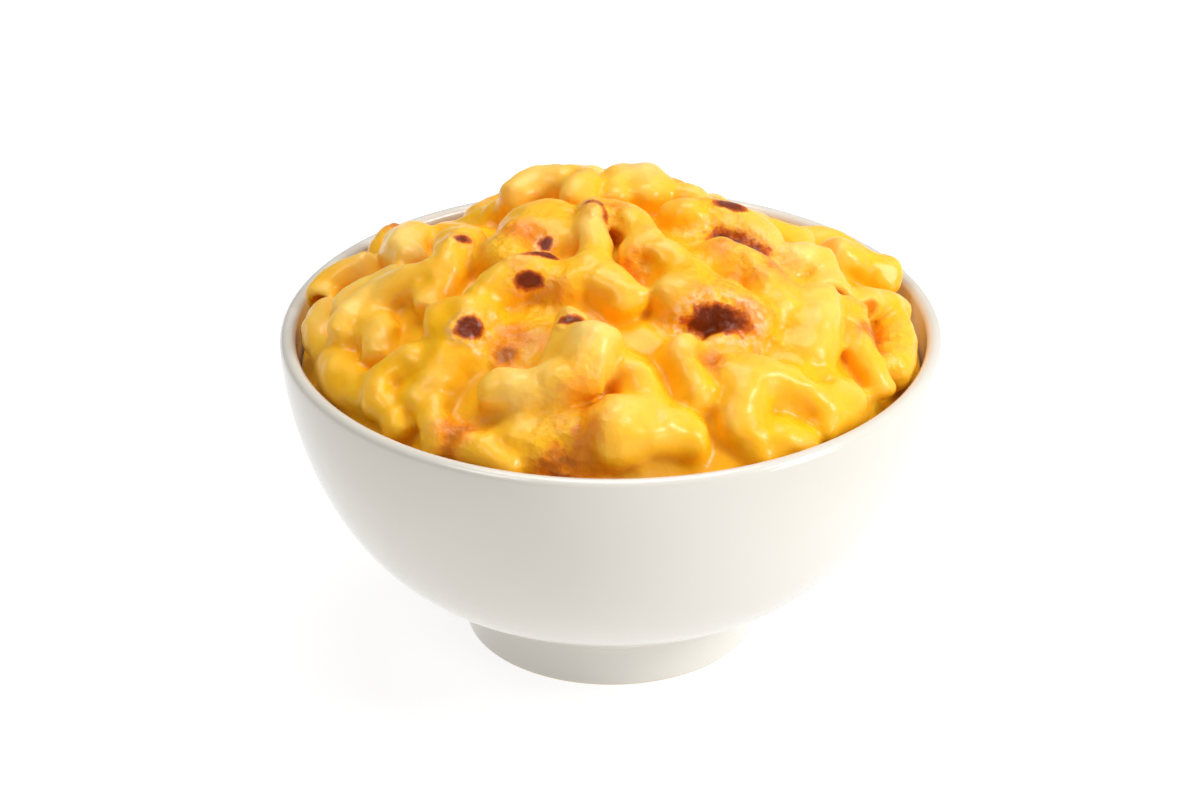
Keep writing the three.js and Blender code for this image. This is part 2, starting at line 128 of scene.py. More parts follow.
# Elbows placed one by one on the side that is seen best: three points of the centre line, each
# x, y, its height over the mound and the size against an ordinary elbow; then the open ends.
PLACED = [
    # left flank, from the back to the front
    [(-54.5, 8, 3, 0.78), (-51.5, 10, 2.8, 0.78), (-46, 9.5, 2, 0.8), "s"],
    [(-49.5, -4, 2.4, 0.66), (-46, -3.5, 2.6, 0.66), (-41, -3, 2, 0.7), ""],
    [(-39, 16, 3, 0.9), (-39.5, 10, 3.2, 0.95), (-38, 3, 2, 0.85), ""],
    [(-35, 22, 0, 0.9), (-27, 22, 0.6, 0.9), (-18, 21, 0.6, 0.9), ""],
    [(-28.5, 0, 2.8, 1.1), (-29.2, -5, 2.5, 1.0), (-31, -12, 1.4, 0.8), ""],
    [(-49.5, -13.5, 2.6, 0.72), (-44.5, -8.5, 3, 0.8), (-35, -10, 2.2, 0.8), ""],
    [(-44, -15.5, 1.7, 0.7), (-43, -19, 1.9, 0.72), (-43, -22.5, 1.4, 0.68), ""],
    [(-54, 1, 1.4, 0.68), (-55, -6, 1.6, 0.7), (-54, -11.5, 1.2, 0.68), ""],
    [(-52.5, -16.5, 0.2, 0.85), (-49.5, -23, 0.6, 0.9), (-44.5, -29.5, 0, 0.85), ""],
    [(-36.5, -29.5, 1.6, 0.78), (-40.5, -30, 1.8, 0.8), (-42, -34, 1.2, 0.75), ""],
    [(-39.5, -37.5, 1.8, 0.6), (-39, -38.5, 1.8, 0.62), (-38.5, -39.5, 1.6, 0.6), ""],
    [(-31.5, -24, 2, 0.98), (-28, -25, 2, 1.0), (-24.5, -27, 2, 0.98), ""],
    [(-26.5, -30, 1, 1.0), (-30.5, -33.5, 1, 1.05), (-34.5, -37, 0.6, 0.9), ""],
    [(-31.5, -41.5, 1.6, 0.62), (-31, -44, 1.8, 0.66), (-30, -46.5, 1, 0.66), ""],
    # front
    [(-20.5, -42, 3.2, 0.9), (-15, -44, 3.4, 0.92), (-9, -44, 3.4, 0.95), ""],
    [(-9, -44, 3.4, 0.95), (-5, -43, 4, 1.08), (-2.8, -37.5, 4.6, 1.15), ""],
    [(-7, -32.5, 3.1, 0.6), (-8.5, -35.5, 2.8, 0.65), (-10, -39, 1.6, 0.65), ""],
    [(-22, -21, 2.2, 0.78), (-17, -18, 2.5, 0.9), (-11, -17.5, 2, 0.95), "s"],
    [(-8, -21, 1, 0.95), (-2.5, -19.5, 1.2, 1.0), (2.5, -25, 0.4, 0.9), ""],
    [(-25, -51, 1.2, 0.66), (-22, -52, 1.2, 0.7), (-19, -53, 0.6, 0.66), ""],
    [(-17, -48, -0.6, 1.0), (-11, -49.5, -0.6, 1.05), (-4, -50, -1, 1.0), ""],
    [(0, -51.5, 0.6, 1.35), (6, -50, 1.2, 1.3), (13.5, -49.5, -0.6, 1.0), ""],
    [(3, -38.5, -0.6, 0.85), (5.5, -42, -0.2, 0.9), (8, -46, -1, 0.8), ""],
    [(13, -34.5, 0.6, 0.9), (14, -38.5, 0.9, 0.85), (15.5, -43, 0.2, 0.9), ""],
    [(9.5, -25, 0.4, 1.05), (17, -23.5, 1.6, 1.15), (25, -26.5, 0.8, 1.05), ""],
    [(20.5, -32, 0.8, 0.8), (22, -35, 1.2, 0.75), (23.5, -38, 1, 0.7), ""],
    [(23, -39, 1.8, 0.8), (24, -42.5, 2, 0.88), (22.5, -47, 1, 0.8), ""],
    [(28, -38, 2.2, 0.8), (33, -37.5, 2.4, 0.8), (38, -37, 1.8, 0.74), ""],
    [(38, -40.5, 1.6, 0.72), (40.5, -39, 1.8, 0.74), (43.5, -36, 1.4, 0.72), ""],
    [(26, -48, -0.8, 0.8), (30, -45.5, -0.4, 0.85), (33, -44, -1.2, 0.78), ""],
    # right flank
    [(37, -13, 1.2, 1.05), (38, -20, 1.4, 1.12), (35.5, -28, 0.2, 1.0), ""],
    [(34.5, 0, 1.6, 0.85), (39.5, 1, 2.2, 0.85), (41, -4.5, 1.2, 0.82), "e"],
    [(44, -12.5, 2.8, 0.66), (46, -20, 2.6, 0.66), (48.5, -26, 1.6, 0.55), ""],
    [(46, -7, 1.4, 0.72), (50, -2, 2, 0.72), (54, 1, 1.6, 0.7), ""],
    [(52.5, -5, 0.8, 0.9), (52.5, -12, 0.9, 0.95), (50.5, -19, 0.2, 0.9), ""],
    [(42, 12, 1.2, 0.85), (48, 14, 1.4, 0.9), (52.5, 15.5, 2.2, 0.9), ""],
    # crown
    [(26, 12, 2, 0.6), (30, 12, 2.4, 0.62), (35, 12, 2.4, 0.6), ""],
    [(12, 4, 1, 0.95), (20, 6, 1.8, 0.98), (28, 3, 1.2, 0.92), ""],
    [(-18.5, 18, 3.8, 0.82), (-13.5, 22, 3.9, 0.9), (-8, 21.5, 3.8, 0.9), ""],
    [(-6, 21, 3.2, 0.82), (-5.5, 17, 2.8, 0.85), (-6, 12, 1.7, 0.8), ""],
    [(-19, 0, 0.8, 0.88), (-14, 2, 1.3, 0.92), (-8.5, 1, 1, 0.88), ""],
    [(7, 24, 3.4, 0.84), (7, 20, 3.2, 0.88), (7, 14, 1.8, 0.8), ""],
    [(2, 24, 3.2, 0.68), (1.5, 19, 2.8, 0.68), (1, 14, 1.4, 0.64), ""],
    [(11, 17, 2.4, 0.66), (15, 16, 2.4, 0.68), (19, 14, 1.4, 0.66), ""],
    [(-3, -0.5, 3.4, 0.66), (-3.5, -8, 3.4, 0.7), (-3.5, -17, 2.4, 0.7), ""],
    [(1, 0, 2.8, 0.72), (4, -3.5, 2.6, 0.78), (6, -9.5, 1.8, 0.78), ""],
    [(5, -12, 0.6, 0.9), (11, -15, 1.6, 0.95), (16, -20.5, 0.6, 0.9), ""],
    [(-21, -8, 0, 0.95), (-15, -3, 1, 1.0), (-9, -7, 0.4, 0.95), ""],
    [(20, -8, 0.4, 1.0), (26, -12, 0.8, 1.05), (30, -19, 0, 1.0), ""],
]

# Round lumps of sauce and elbow ends that stick out: x, y, height over the mound, radius
LUMPS = [
    (-18, -10, 0.8, 4),
    (-33, -16, 0.4, 3.6),
    (42, -33, 0.4, 4),
]

# Hollows pressed into the surface, as above
HOLLOWS = [
    (-36, -22, 3.4, 3.2),
    (9, -33, 4.2, 3.2),
    (6, -18, 4.4, 2.8),
    (47, -9, 3.4, 2),
]

# Where melted cheese blankets the elbows: x, y, reach, and how far the sauce rises there
BLANKETS = [
    (28, -8, 12, 1.6),
    (33, -28, 9, 2.2),
    (14, -6, 9, 1.0),
    (-14, -12, 10, 1.0),
    (-18, -29, 7, 1.8),
    (-25, -45, 6, 1.0),
    (-30, 14, 10, 1.2),
    (-8, -51, 7, 0.8),
    (18, -39, 7, 1.4),
    (44, -32, 6, 1.4),
    (-44, -14, 8, 1.0),
    (-38, -33, 7, 1.2),
    (5, -43, 4, 0.8),
    (32, -40, 7, 1.0),
]

# Browned spots: x, y, half length, half width, heading in degrees, how dark, and how strong
# the pale ring of dried cheese round the spot is. The last five are on the back.
BROWN_SPOTS = [
    (19.1, -28.9, 6.2, 3.8, -14, 1.0, 0.55),
    (-25.3, -31, 3.0, 2.4, 10, 0.95, 0.3),
    (-14.8, -22, 2.8, 2.2, 0, 0.85, 0.2),
    (-12.5, -17.5, 5.0, 1.1, 6, 0.8, 0),
    (-12, -8.5, 1.8, 1.4, 60, 0.75, 0.6),
    (-27.5, -5.5, 2.0, 1.2, 0, 0.75, 0.1),
    (-3, -1.5, 2.4, 1.0, -20, 0.35, 0),
    (-1.5, -4, 2.6, 1.0, -60, 0.25, 0),
    (23, -2.5, 7.0, 4.6, -24, 0.85, 0.2),
    (22.2, 6, 3.6, 2.0, -6, 0.9, 0),
    (-7, -34.2, 2.4, 1.4, 0, 0.7, 0.1),
    (10, 41, 4.6, 3.2, -20, 0.95, 0.5),
    (-17, 39, 2.8, 2.2, 20, 0.85, 0.3),
    (-32, 37, 2.0, 1.4, 60, 0.75, 0.1),
    (33, 27, 2.6, 1.6, 10, 0.8, 0.2),
    (2, 45, 2.0, 1.5, 0, 0.7, 0.1),
]
RING_AT = 1.3  # where the pale ring lies, in half widths of the spot
RING_WIDTH = 0.28

# Deeper orange patches, turning brown past 1: baked crust, a browner dent at (4, -17), and
# painted shade in the crevice at (50, -16) on the right. Each: x, y, reach, and how deep
BAKED_AND_SHADED_PATCHES = [
    (26, -7, 7, 1.8),
    (28, -12, 6, 1.4),
    (22, -27, 9, 1.1),
    (-7, -53, 8, 1),
    (-9, -53, 4, 3),
    (-18, -8, 7, 1.2),
    (-17, -31, 6, 1),
    (-18.5, -34, 2.8, 2.6),
    (-12, -22, 6, 1),
    (-1, -3, 5, 1.1),
    (-27, -47, 4, 1.6),
    (4, -17, 3, 1.8),
    # painted shade: these two darken the crevice between two elbows on the right to brown
    (50, -15, 5, 1.8),
    (48.8, -18, 3, 3),
    (18, -39, 3, 1.4),
    (11, 41, 8, 1.2),
    (-19, 39, 7, 1.1),
    (32, 36, 5, 1.7),
    (-6, 51, 5, 1.6),
    (-41, 31, 5, 1.4),
]

# Where the sauce is thick and creamy, with a painted highlight on the crests there: x, y, reach,
# and how pale
CREAM_AND_HIGHLIGHT_PATCHES = [
    (-15, -44, 6, 0.9),
    (-4, -40, 5, 1),
    (-47, -6, 9, 0.8),
    (-40, 9, 8, 0.8),
    (-13, 21, 6, 0.8),
    (6, 21, 5, 0.9),
    (-3, -7, 4, 0.7),
    (35, -4, 9, 0.9),
    (38, -20, 6, 0.5),
    (4, -51, 6, 0.5),
    (30, 22, 8, 0.7),
    (-4, 34, 8, 0.8),
    (-30, 46, 7, 0.7),
    (22, 48, 6, 0.8),
]

# Heap mesh
VOXEL = 0.6
GRID_LOW = (-60.6, -60.6, 54.3)
GRID_HIGH = (60.6, 60.6, 92.1)
BLOCK_MARGIN = 3  # of grid worked out round each shape
NEAR_SURFACE = 3  # how near the surface bumps and crust are worked out
FIT_ROUNDS = 3
GENTLEST_SLOPE = 0.05  # of the field, squared, that a fitting step divides by
RELIEF_ROUNDS = 40  # of smoothing that relief is measured against
SKIRT_RINGS = 8
SKIRT_END = 0.5  # from the heap's lowest point up to the skirt's last ring
LATTICE = 64  # side of the random lattice that noise is read from


def curve_radius(radius, depth, full_depth):
    """Radius of a superellipse bowl curve at a depth below the rim."""
    share = np.clip(np.asarray(depth, float) / full_depth, 0, 1)
    return radius * (1 - share**DEPTH_POWER) ** (1 / RADIUS_POWER)


def mound_height(x, y):
    """Height of the elbows' centre lines over the foot."""
    height = RIM_HEIGHT + MOUND_RISE - MOUND_RADIUS - COAT_RADIUS
    height = height + np.sqrt(MOUND_RADIUS**2 - x * x - y * y)
    for cx, cy, reach_x, reach_y, depth in SAGS:
        height = height - depth * np.exp(-(((x - cx) / reach_x) ** 2) - ((y - cy) / reach_y) ** 2)
    return height


def noise(points, wavelength, seed, channels=1):
    """Smooth noise from -1 to 1, read from a random cubic lattice."""
    shape = (LATTICE, LATTICE, LATTICE, channels)
    values = np.random.default_rng(seed).uniform(-1, 1, shape).astype(np.float32)
    cell = points / wavelength
    base = np.floor(cell).astype(int)
    share = (cell - base).astype(np.float32)
    share = share * share * (3 - 2 * share)
    total = 0
    for corner in np.ndindex(2, 2, 2):
        weight = 1
        for axis, step in enumerate(corner):
            weight = weight * (share[..., axis] if step else 1 - share[..., axis])
        at = (base + corner) % LATTICE
        total = total + weight[..., None] * values[at[..., 0], at[..., 1], at[..., 2]]
    return total if channels > 1 else total[..., 0]


def smooth_min(a, b, blend):
    """The lower of two fields, with a fillet of about the blend's width."""
    share = np.clip(0.5 + 0.5 * (b - a) / blend, 0, 1)
    return b + (a - b) * share - blend * share * (1 - share)


def smooth_max(a, b, blend):
    """The higher of two fields, with a fillet of about the blend's width."""
    return -smooth_min(-a, -b, blend)


def random_numbers(seed):
    """Even random numbers from 0 to 1, the same ones each time."""
    state = seed
    while True:
        state = (state * 1664525 + 1013904223) % 2**32
        yield state / 2**32


def are_clear(one, other):
    """Whether two elbows' points keep clear of each other, seen from above."""
    return all(
        math.hypot(a[0] - b[0], a[1] - b[1]) > RULE_CLEAR
        for a in one[:3]
        for b in other[:3]
    )


def with_ruled_elbows(placed):
    """The placed elbows, and more over the back of the mound, on a sunflower spiral."""
    numbers = random_numbers(RULE_SEED)

    def within(limits):
        return limits[0] + (limits[1] - limits[0]) * next(numbers)

    golden_angle = math.pi * (3 - math.sqrt(5))
    rows = list(placed)
    for i in range(RULE_PLACES):
        distance = RULE_REACH * math.sqrt((i + 0.5) / RULE_PLACES)
        x = distance * math.cos(i * golden_angle)
        y = distance * math.sin(i * golden_angle)
        heading = within((0, 2 * math.pi))
        half = within(HALF_LENGTHS)
        bow = within(BOWS)
        arch = within(ARCHES)
        lift = within(LIFTS)
        size = within(SIZES)
        is_open = "s" if next(numbers) < OPEN_SHARE else ""
        dx, dy = math.cos(heading), math.sin(heading)
        row = [
            (x - dx * half, y - dy * half, lift - arch, size),
            (x - dy * bow, y + dx * bow, lift + arch / 2, size),
            (x + dx * half, y + dy * half, lift - arch, size),
            is_open,
        ]
        if y > RULE_FRONT and all(are_clear(row, other) for other in rows):
            rows.append(row)
    return rows


def on_mound(point):
    """A point of a centre line, held back from the bowl's wall, and the elbow's radius there."""
    x, y, lift, size = point
    radius = COAT_RADIUS * size
    held = min(1, (INSIDE_RADIUS - WALL_CLEAR - radius) / max(math.hypot(x, y), 1))
    x, y = x * held, y * held
    return np.array([x, y, mound_height(x, y) + lift, radius])


def centre_line(row):
    """Points along an elbow: x, y, z and the radius there."""
    start, middle, end = (on_mound(point) for point in row[:3])
    handle = 2 * middle - (start + end) / 2
    t = np.linspace(0, 1, LINE_STEPS)[:, None]
    return (1 - t) ** 2 * start + 2 * t * (1 - t) * handle + t**2 * end


def nearest_on_line(points, line):
    """Distance from each point to a line that runs straight on past its ends, the place along
    the line where it is nearest, the radius there, and the line's length."""
    nearest = np.full(points.shape[:-1], np.inf)
    along = np.zeros(points.shape[:-1])
    stations = [0.0]
    last = len(line) - 2
    for i in range(last + 1):
        step = line[i + 1, :3] - line[i, :3]
        length = float(np.linalg.norm(step))
        offset = points - line[i, :3]
        low = -np.inf if i == 0 else 0
        high = np.inf if i == last else length
        t = np.clip(offset @ (step / length), low, high)
        gap = np.linalg.norm(offset - t[..., None] * (step / length), axis=-1)
        closer = gap < nearest
        nearest = np.where(closer, gap, nearest)
        along = np.where(closer, stations[-1] + t, along)
        stations.append(stations[-1] + length)
    return nearest, along, np.interp(along, stations, line[:, 3]), stations[-1]


def round_edged(radial, axial, rounding):
    """Distance to a cylinder with rounded edges, from distances past its side and its end."""
    side = radial + rounding
    end = axial + rounding
    outside = np.hypot(np.maximum(side, 0), np.maximum(end, 0))
    return outside + np.minimum(np.maximum(side, end), 0) - rounding


def block_round(axes, points, margin):
    """The slice of the grid round some points."""
    slices = []
    for values, low, high in zip(axes, points.min(0) - margin, points.max(0) + margin):
        first, last = np.searchsorted(values, (low, high))
        slices.append(slice(first, last))
    return tuple(slices)


def eased(value, low, high):
    """How far a value lies from low to high, eased, from 0 to 1."""
    share = np.clip((value - low) / (high - low), 0, 1)
    return share * share * (3 - 2 * share)


def blanket(x, y):
    """How thickly melted cheese lies at a place: the rise of the sauce there."""
    rise = np.zeros(np.broadcast(x, y).shape)
    for cx, cy, reach, height in BLANKETS:
        rise = rise + height * np.exp(-((x - cx) ** 2 + (y - cy) ** 2) / reach**2)
    return rise


def sauce_field(axes):
    """Height over the sauce between the elbows, on the grid."""
    x, y = np.meshgrid(axes[0], axes[1], indexing="ij")
    distance = np.minimum(np.hypot(x, y), INSIDE_RADIUS + 1)
    shrink = distance / np.maximum(np.hypot(x, y), 1e-6)
    level = SAUCE_LEVEL - RIM_DROP * eased(distance, *RIM_DROP_FROM_TO)
    top = mound_height(x * shrink, y * shrink) + level + blanket(x, y)
    slope = np.sqrt(1 - (distance / MOUND_RADIUS) ** 2)
    return (axes[2][None, None, :] - top[..., None]) * slope[..., None]


def crust_relief(points):
    """Wrinkles of the baked crust: thin ridges at two sizes."""
    ridges = sum(
        share * (1 - 2 * np.abs(noise(points, length, seed)))
        for share, length, seed in CRUST_RIDGES
    )
    return -CRUST_HEIGHT * ridges


def heap_field(axes, rows):
    """Distance-like field of the heap on a grid, negative inside."""
    grid = np.stack(np.meshgrid(*axes, indexing="ij"), -1)
    bent = grid + sum(reach * noise(grid, length, seed, 3) for reach, length, seed in WARPS)
    field = sauce_field(axes)
    spread = np.clip(blanket(grid[..., 0, 0], grid[..., 0, 1]), 0, SPREAD_LIMIT)
    fillet = (FILLET + FILLET_SPREAD * spread)[..., None]
    bores = []
    for row in rows:
        line = centre_line(row)
        margin = line[:, 3].max() + END_REACH + BLOCK_MARGIN
        block = block_round(axes, line[:, :3], margin)
        nearest, along, radius, length = nearest_on_line(bent[block], line)
        past = np.abs(along - length / 2) - (length / 2 + END_REACH)
        rounding = np.minimum(CLOSED_ROUNDING, CLOSED_ROUNDING_LIMIT * radius)
        for end, at_start, mouth in (("s", True, -END_REACH), ("e", False, length + END_REACH)):
            if end in row[3]:
                rounding = np.where((along < length / 2) == at_start, OPEN_ROUNDING, rounding)
                radial = nearest - BORE_SHARE * radius
                axial = np.abs(along - mouth) - BORE_DEPTH
                bores.append((block, round_edged(radial, axial, BORE_ROUNDING)))
        elbow = round_edged(nearest - radius, past, rounding)
        field[block] = smooth_min(field[block], elbow, fillet[block[:2]])
    for lumps, joined in ((LUMPS, True), (HOLLOWS, False)):
        for x, y, lift, radius in lumps:
            centre = on_mound((x, y, lift, 0))[:3]
            block = block_round(axes, centre[None], radius + BLOCK_MARGIN)
            ball = np.linalg.norm(bent[block] - centre, axis=-1) - radius
            if joined:
                field[block] = smooth_min(field[block], ball, fillet[block[:2]])
            else:
                field[block] = smooth_max(field[block], -ball, HOLLOW_FILLET)
    for block, bore in bores:
        field[block] = smooth_max(field[block], -bore, BORE_FILLET)
    near = np.abs(field) < NEAR_SURFACE
    places = grid[near]
    browning, _ = browning_at(places, spot_tops(field, axes))
    baking_and_shade = np.minimum(patches_at(places, BAKED_AND_SHADED_PATCHES), 1)
    crust = np.maximum(baking_and_shade, eased(browning, CRUST_FROM, 0))
    bumps = sum(height * noise(places, length, seed) for height, length, seed in BUMPS)
    field[near] += bumps + crust * crust_relief(places)
    depth = RIM_HEIGHT - grid[..., 2]
    wall_radius = curve_radius(INSIDE_RADIUS, depth, INSIDE_DEPTH) - WALL_GAP
    wall = np.hypot(grid[..., 0], grid[..., 1]) - wall_radius
    return smooth_max(field, wall, WALL_FILLET)


def surface_net(field, axes):
    """Vertices and quads of the surface where a field on a grid crosses zero."""
    inside = field < 0
    cells = np.array(field.shape) - 1
    corners = [
        tuple(slice(step, step + count) for step, count in zip(corner, cells))
        for corner in np.ndindex(2, 2, 2)
    ]
    count = sum(inside[corner].astype(np.int8) for corner in corners)
    active = (count > 0) & (count < 8)
    place = np.argwhere(active)
    number = np.full(tuple(cells), -1)
    number[active] = np.arange(len(place))
    total = np.zeros((len(place), 3))
    crossings = np.zeros(len(place))
    for axis in range(3):
        others = [other for other in range(3) if other != axis]
        for one, two in np.ndindex(2, 2):
            start = place.copy()
            start[:, others[0]] += one
            start[:, others[1]] += two
            end = start.copy()
            end[:, axis] += 1
            low = field[tuple(start.T)]
            high = field[tuple(end.T)]
            crossed = (low < 0) != (high < 0)
            share = np.where(crossed, low / np.where(crossed, low - high, 1), 0)
            point = start.astype(float)
            point[:, axis] += share
            total += point * crossed[:, None]
            crossings += crossed
    step = np.array([values[1] - values[0] for values in axes])
    origin = np.array([values[0] for values in axes])
    vertices = origin + total / crossings[:, None] * step
    quads = []
    for axis in range(3):
        ahead = [slice(None)] * 3
        behind = [slice(None)] * 3
        ahead[axis] = slice(1, None)
        behind[axis] = slice(None, -1)
        crossed = inside[tuple(ahead)] != inside[tuple(behind)]
        edges = np.argwhere(crossed)
        b, c = (axis + 1) % 3, (axis + 2) % 3
        keep = (edges[:, b] > 0) & (edges[:, b] < cells[b])
        keep &= (edges[:, c] > 0) & (edges[:, c] < cells[c])
        edges = edges[keep]
        ring = []
        for back_b, back_c in ((1, 1), (0, 1), (0, 0), (1, 0)):
            cell = edges.copy()
            cell[:, b] -= back_b
            cell[:, c] -= back_c
            ring.append(number[tuple(cell.T)])
        quad = np.stack(ring, -1)
        starts_inside = inside[tuple(edges.T)]
        quads.append(np.where(starts_inside[:, None], quad, quad[:, ::-1]))
    return vertices, np.concatenate(quads)


def read_grid(grid, axes, points):
    """A grid's values at points between its nodes."""
    step = axes[0][1] - axes[0][0]
    origin = np.array([values[0] for values in axes])
    cell = (points - origin) / step
    base = np.clip(np.floor(cell).astype(int), 0, np.array(grid.shape[:3]) - 2)
    share = np.clip(cell - base, 0, 1)
    total = 0
    for corner in np.ndindex(2, 2, 2):
        weight = 1
        for axis, one in enumerate(corner):
            weight = weight * (share[:, axis] if one else 1 - share[:, axis])
        at = base + corner
        total = total + weight * grid[at[:, 0], at[:, 1], at[:, 2]]
    return total


def slope_at(field, axes, points):
    """The field's slope along X, Y and Z at points."""
    reach = 0.5 * VOXEL
    slopes = []
    for direction in np.eye(3):
        ahead = read_grid(field, axes, points + reach * direction)
        behind = read_grid(field, axes, points - reach * direction)
        slopes.append((ahead - behind) / (2 * reach))
    return np.stack(slopes, -1)


def neighbour_mean(values, quads):
    """Mean of each vertex's values over the ends of the edges that meet it."""
    total = np.zeros_like(values)
    count = np.zeros(len(values))
    for one, two in ((0, 1), (1, 2), (2, 3), (3, 0)):
        np.add.at(total, quads[:, one], values[quads[:, two]])
        np.add.at(total, quads[:, two], values[quads[:, one]])
        np.add.at(count, quads[:, one], 1)
        np.add.at(count, quads[:, two], 1)
    return total / (count[:, None] if values.ndim > 1 else count)


def fitted(vertices, quads, field, axes, held):
    """The net evened out and drawn back onto the surface; held vertices stay."""
    for _ in range(FIT_ROUNDS):
        moved = 0.5 * vertices + 0.5 * neighbour_mean(vertices, quads)
        slope = slope_at(field, axes, moved)
        steepness = np.maximum((slope**2).sum(-1), GENTLEST_SLOPE)
        value = read_grid(field, axes, moved)
        step = np.clip(value / steepness, -VOXEL, VOXEL)
        moved = moved - slope * step[:, None]
        vertices = np.where(held[:, None], vertices, moved)
    return vertices


def largest_piece(vertices, quads):
    """The net without loose scraps."""
    label = np.arange(len(vertices))
    while True:
        lowest = label[quads].min(1)
        new = label.copy()
        for corner in range(4):
            np.minimum.at(new, quads[:, corner], lowest)
        new = new[new]
        if (new == label).all():
            break
        label = new
    names, counts = np.unique(label, return_counts=True)
    kept = label == names[counts.argmax()]
    number = np.cumsum(kept) - 1
    return vertices[kept], number[quads[kept[quads[:, 0]]]]


def rim_loop(quads):
    """The vertices along the net's open edge, in order."""
    edges = np.concatenate([quads[:, (i, (i + 1) % 4)] for i in range(4)])
    both = {(a, b) for a, b in edges.tolist()}
    after = {a: b for a, b in both if (b, a) not in both}
    loop = [next(iter(sorted(after)))]
    while after[loop[-1]] != loop[0]:
        loop.append(after[loop[-1]])
    return np.array(loop)


def with_skirt(vertices, quads):
    """The net closed below: its open edge carried down the bowl's wall to the floor."""
    loop = rim_loop(quads)
    angle = np.arctan2(vertices[loop, 1], vertices[loop, 0])
    top_depth = RIM_HEIGHT - vertices[loop, 2]
    floor_depth = INSIDE_DEPTH - WALL_GAP
    above = loop
    faces = []
    for ring in range(1, SKIRT_RINGS + 1):
        share = math.sin(math.pi / 2 * ring / SKIRT_RINGS)
        depth = top_depth + (floor_depth - SKIRT_END - top_depth) * share
        radius = curve_radius(INSIDE_RADIUS, depth, floor_depth) - WALL_GAP
        points = np.stack(
            [radius * np.cos(angle), radius * np.sin(angle), RIM_HEIGHT - depth], -1
        )
        below = len(vertices) + np.arange(len(loop))
        vertices = np.concatenate([vertices, points])
        faces.append(np.stack([above, below, np.roll(below, -1), np.roll(above, -1)], -1))
        above = below
    vertices = np.concatenate([vertices, [(0, 0, RIM_HEIGHT - floor_depth)]])
    middle = np.full(len(loop), len(vertices) - 1)
    fan = np.stack([above, middle, np.roll(above, -1)], -1)
    return vertices, np.concatenate([quads, *faces]), fan


def new_mesh_object(name, vertices, faces):
    """A smooth-shaded mesh object from points in millimetres."""
    mesh = bpy.data.meshes.new(name)
    mesh.from_pydata((np.asarray(vertices) * MM).tolist(), [], faces)
    mesh.validate()
    mesh.shade_smooth()
    thing = bpy.data.objects.new(name, mesh)
    bpy.context.scene.collection.objects.link(thing)
    return thing


def set_attribute(thing, name, values):
    """A value for each vertex, which the material reads by name."""
    attribute = thing.data.attributes.new(name, "FLOAT", "POINT")
    attribute.data.foreach_set("value", values.astype(np.float32))


def spot_tops(field, axes):
    """Height of the surface at each brown spot."""
    tops = []
    for x, y, *_ in BROWN_SPOTS:
        column = field[np.searchsorted(axes[0], x), np.searchsorted(axes[1], y)]
        tops.append(axes[2][np.nonzero(column < 0)[0][-1]])
    return tops


def browning_at(points, tops):
    """How browned the crust is: 1 at the middle of a dark spot, 0 at its edge, then below; and
    how strong the pale ring round a spot is."""
    best = np.full(len(points), -1.0)
    ring = np.zeros(len(points))
    for (x, y, long, wide, heading, dark, pale), top in zip(BROWN_SPOTS, tops):
        turn = math.radians(heading)
        dx, dy = points[:, 0] - x, points[:, 1] - y
        along = (dx * math.cos(turn) + dy * math.sin(turn)) / long
        across = np.hypot(dy * math.cos(turn) - dx * math.sin(turn), points[:, 2] - top) / wide
        distance = np.hypot(along, across)
        best = np.maximum(best, dark * (1 - distance))
        ring = np.maximum(ring, pale * np.exp(-(((distance - RING_AT) / RING_WIDTH) ** 2)))
    return np.clip(best, -1, 1), ring


def patches_at(points, patches):
    """How strongly soft round patches show at points."""
    total = np.zeros(len(points))
    for x, y, reach, strength in patches:
        distance = np.hypot(points[:, 0] - x, points[:, 1] - y)
        total = np.maximum(total, strength * np.exp(-((distance / reach) ** 2)))
    return total


def relief_at(vertices, quads, rounds):
    """How far each vertex stands above the surface round it, in millimetres."""
    height = vertices[:, 2].copy()
    for _ in range(rounds):
        height = neighbour_mean(height, quads)
    return vertices[:, 2] - height


def make_heap():
    """The heap as one closed mesh, with what its colours are worked out from."""
    axes = [np.arange(low, high, VOXEL) for low, high in zip(GRID_LOW, GRID_HIGH)]
    field = heap_field(axes, with_ruled_elbows(PLACED))
    vertices, quads = largest_piece(*surface_net(field, axes))
    edge = np.zeros(len(vertices), bool)
    edge[rim_loop(quads)] = True
    vertices = fitted(vertices, quads, field, axes, edge)
    relief = relief_at(vertices, quads, RELIEF_ROUNDS)
    vertices, quads, fan = with_skirt(vertices, quads)
    heap = new_mesh_object("macaroni_and_cheese", vertices, quads.tolist() + fan.tolist())
    relief = np.concatenate([relief, np.zeros(len(vertices) - len(relief))])
    set_attribute(heap, "relief", relief)
    browning, ring = browning_at(vertices, spot_tops(field, axes))
    set_attribute(heap, "browning", browning)
    set_attribute(heap, "ring", ring)
    set_attribute(heap, "baking_and_shade", patches_at(vertices, BAKED_AND_SHADED_PATCHES))
    set_attribute(heap, "paleness", patches_at(vertices, CREAM_AND_HIGHLIGHT_PATCHES))
    return heap


def arc(centre, radius, first, last, count):
    """Points of a circular arc in a profile, angles in degrees."""
    angles = np.radians(np.linspace(first, last, count))
    return [(centre[0] + radius * math.cos(a), centre[1] + radius * math.sin(a)) for a in angles]


